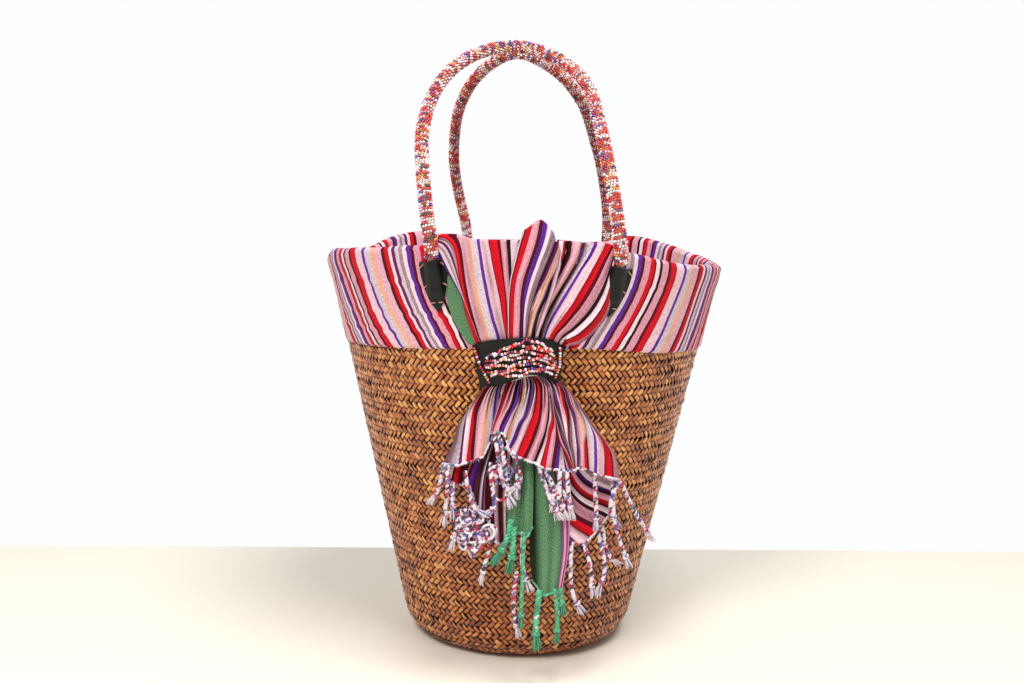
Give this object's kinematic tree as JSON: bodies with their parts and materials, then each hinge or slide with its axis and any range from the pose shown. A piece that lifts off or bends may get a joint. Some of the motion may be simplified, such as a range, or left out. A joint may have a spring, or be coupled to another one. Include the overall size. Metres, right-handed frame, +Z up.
{
  "type": "palm leaf tote bag",
  "caption": "Round tapered palm leaf basket bag with a striped cloth over its rim, gathered through a beaded leather keeper, and two bead-covered rope handles.",
  "frame": {"origin": "middle of the flat underside", "axes": "+Z up, the front with the keeper and the tails faces -Y, +X to the right seen from the front"},
  "size_m": [0.3475, 0.3658, 0.5259],
  "materials": {
    "palm_leaf": "varnished palm leaf strips in a herringbone plait",
    "striped_cloth": "hand woven cotton with narrow stripes of pink, red, maroon, purple, white and peach",
    "green_cloth": "plain weave cotton, dusty green",
    "leather": "smooth black leather with copper-coloured hand stitches",
    "seed_beads": "glossy glass seed beads of mixed colours, mostly red and white",
    "rope": "natural fibre rope",
    "fringe_cord": "twisted cotton threads of white, blue, pink and red, knotted",
    "green_cord": "twisted emerald cotton threads, knotted"
  },
  "bodies": {
    "bag": {"basket_base": "palm_leaf", "basket_wall": "palm_leaf", "green_border_sliver": "green_cloth", "keeper_leather": "leather", "keeper_row_left": "seed_beads", "keeper_row_right": "seed_beads", "keeper_strand_1": "seed_beads", "keeper_strand_2": "seed_beads", "keeper_strand_3": "seed_beads", "keeper_strand_4": "seed_beads", "keeper_strand_5": "seed_beads", "keeper_strand_6": "seed_beads", "keeper_strand_7": "seed_beads", "keeper_strand_8": "seed_beads", "keeper_strand_9": "seed_beads", "rope_end_back_left": "rope", "rope_end_back_right": "rope", "rope_end_front_left": "rope", "rope_end_front_right": "rope", "shawl_collar": "striped_cloth", "shawl_gather_left": "striped_cloth", "shawl_gather_peak": "striped_cloth", "shawl_gather_right": "striped_cloth", "shawl_neck": "striped_cloth", "tab_back_left": "leather", "tab_back_right": "leather", "tab_front_left": "leather", "tab_front_right": "leather"},
    "front_handle": {"handle_rope_front": "rope", "handle_beads_front": "seed_beads"},
    "back_handle": {"handle_rope_back": "rope", "handle_beads_back": "seed_beads"},
    "tail": {"fringe_1": "fringe_cord", "fringe_10": "fringe_cord", "fringe_11": "fringe_cord", "fringe_12": "fringe_cord", "fringe_13": "fringe_cord", "fringe_14": "fringe_cord", "fringe_15": "green_cord", "fringe_16": "green_cord", "fringe_17": "green_cord", "fringe_18": "green_cord", "fringe_19": "fringe_cord", "fringe_2": "fringe_cord", "fringe_20": "fringe_cord", "fringe_3": "fringe_cord", "fringe_4": "fringe_cord", "fringe_5": "fringe_cord", "fringe_6": "fringe_cord", "fringe_7": "fringe_cord", "fringe_8": "fringe_cord", "fringe_9": "fringe_cord", "green_panel_large": "green_cloth", "green_panel_small": "green_cloth", "tail_front": "striped_cloth", "tail_under_left": "striped_cloth", "tail_under_right": "striped_cloth"}
  },
  "joints": [
    {"name": "front_handle_swing", "type": "hinge", "parent": "bag", "child": "front_handle", "pos_m": [0.006, -0.176, 0.336], "axis": [1, 0, 0], "range_deg": [0, 150]},
    {"name": "back_handle_swing", "type": "hinge", "parent": "bag", "child": "back_handle", "pos_m": [0.007, 0.177, 0.342], "axis": [-1, 0, 0], "range_deg": [0, 150]},
    {"name": "tail_swing", "type": "hinge", "parent": "bag", "child": "tail", "pos_m": [0.002, -0.161, 0.238], "axis": [-1, 0, 0], "range_deg": [0, 75]}
  ]
}
